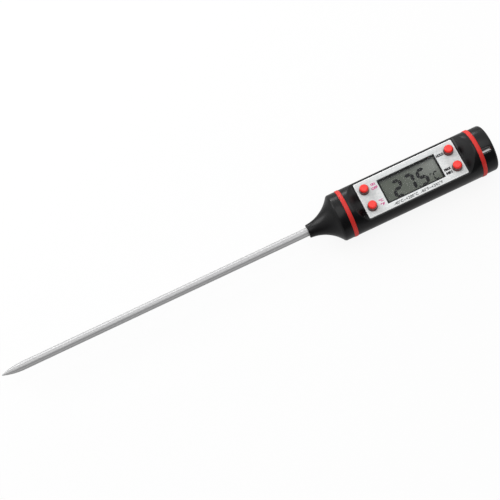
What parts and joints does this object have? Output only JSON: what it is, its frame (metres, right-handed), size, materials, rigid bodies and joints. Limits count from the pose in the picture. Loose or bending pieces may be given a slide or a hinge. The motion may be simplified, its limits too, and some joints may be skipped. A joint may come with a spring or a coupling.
{
  "type": "digital probe thermometer",
  "caption": "Pen-style digital probe thermometer: pointed steel stem, round black handle with a display and push buttons under a flat plate, red rings, screw-off battery cap.",
  "frame": {"origin": "centre of the collar face, where the stem leaves the neck, on the axis of the stem", "axes": "-X along the stem towards its point, +X towards the battery cap, +Z out of the faceplate, +Y across the handle"},
  "size_m": [0.2387, 0.0224, 0.0224],
  "materials": {
    "black_plastic": "satin moulded",
    "stainless": "satin drawn",
    "sealant": "cured sealant",
    "red_silicone": "moulded silicone",
    "silver_plate": "fine matt, printed",
    "clear_window": "clear acrylic",
    "dark_frame": "moulded",
    "lcd_glass": "grey-green reflective display",
    "elastomer": "layered elastomer",
    "board_green": "solder mask",
    "black_resin": "epoxy",
    "ceramic": "ceramic",
    "solder": "bright",
    "switch_metal": "plated",
    "zinc_steel": "zinc plated",
    "sensor_glass": "glass bead",
    "potting": "thermal compound",
    "wire_jacket": "insulated wire",
    "white_plastic": "moulded",
    "cell_steel": "plated",
    "contact_metal": "nickel plated",
    "red_button": "moulded"
  },
  "bodies": {
    "handle": {"handle_body": "black_plastic", "probe_stem": "stainless", "neck_seal": "sealant", "front_ring": "red_silicone", "faceplate": "silver_plate", "lcd_window": "clear_window", "lcd_frame": "dark_frame", "lcd_glass": "lcd_glass", "zebra_strips": "elastomer", "circuit_board": "board_green", "controller_chip": "black_resin", "surface_parts": "ceramic", "solder_joints": "solder", "switch_housings": "switch_metal", "board_screws": "zinc_steel", "thermistor": "sensor_glass", "tip_potting": "potting", "thermistor_leads": "wire_jacket", "battery_carrier": "white_plastic", "battery_cell": "cell_steel", "positive_contact": "contact_metal", "negative_contact": "contact_metal"},
    "button_power": {"button_power": "red_button", "plunger_power": "black_resin"},
    "button_units": {"button_units": "red_button", "plunger_units": "black_resin"},
    "button_hold": {"button_hold": "red_button", "plunger_hold": "black_resin"},
    "button_max_min": {"button_max_min": "red_button", "plunger_max_min": "black_resin"},
    "seal": {"rear_ring": "red_silicone"},
    "cap": {"battery_cap": "black_plastic"}
  },
  "joints": [
    {"name": "power_press", "type": "slide", "parent": "handle", "child": "button_power", "axis": [0, 0, -1], "range_m": [0, 0.0005], "stiffness_N_per_m": 400, "springref_m": -0.001},
    {"name": "units_press", "type": "slide", "parent": "handle", "child": "button_units", "axis": [0, 0, -1], "range_m": [0, 0.0005], "stiffness_N_per_m": 400, "springref_m": -0.001},
    {"name": "hold_press", "type": "slide", "parent": "handle", "child": "button_hold", "axis": [0, 0, -1], "range_m": [0, 0.0005], "stiffness_N_per_m": 400, "springref_m": -0.001},
    {"name": "max_min_press", "type": "slide", "parent": "handle", "child": "button_max_min", "axis": [0, 0, -1], "range_m": [0, 0.0005], "stiffness_N_per_m": 400, "springref_m": -0.001},
    {"name": "cap_travel", "type": "slide", "parent": "handle", "child": "seal", "axis": [1, 0, 0], "range_m": [0, 0.0032]},
    {"name": "cap_turn", "type": "hinge", "parent": "seal", "child": "cap", "pos_m": [0.0857, 0, 0], "axis": [1, 0, 0], "range_deg": [0, 1153]}
  ],
  "couplings": [
    {"joint": "cap_turn", "follows": "cap_travel", "rad_per_m": 6283.2}
  ]
}
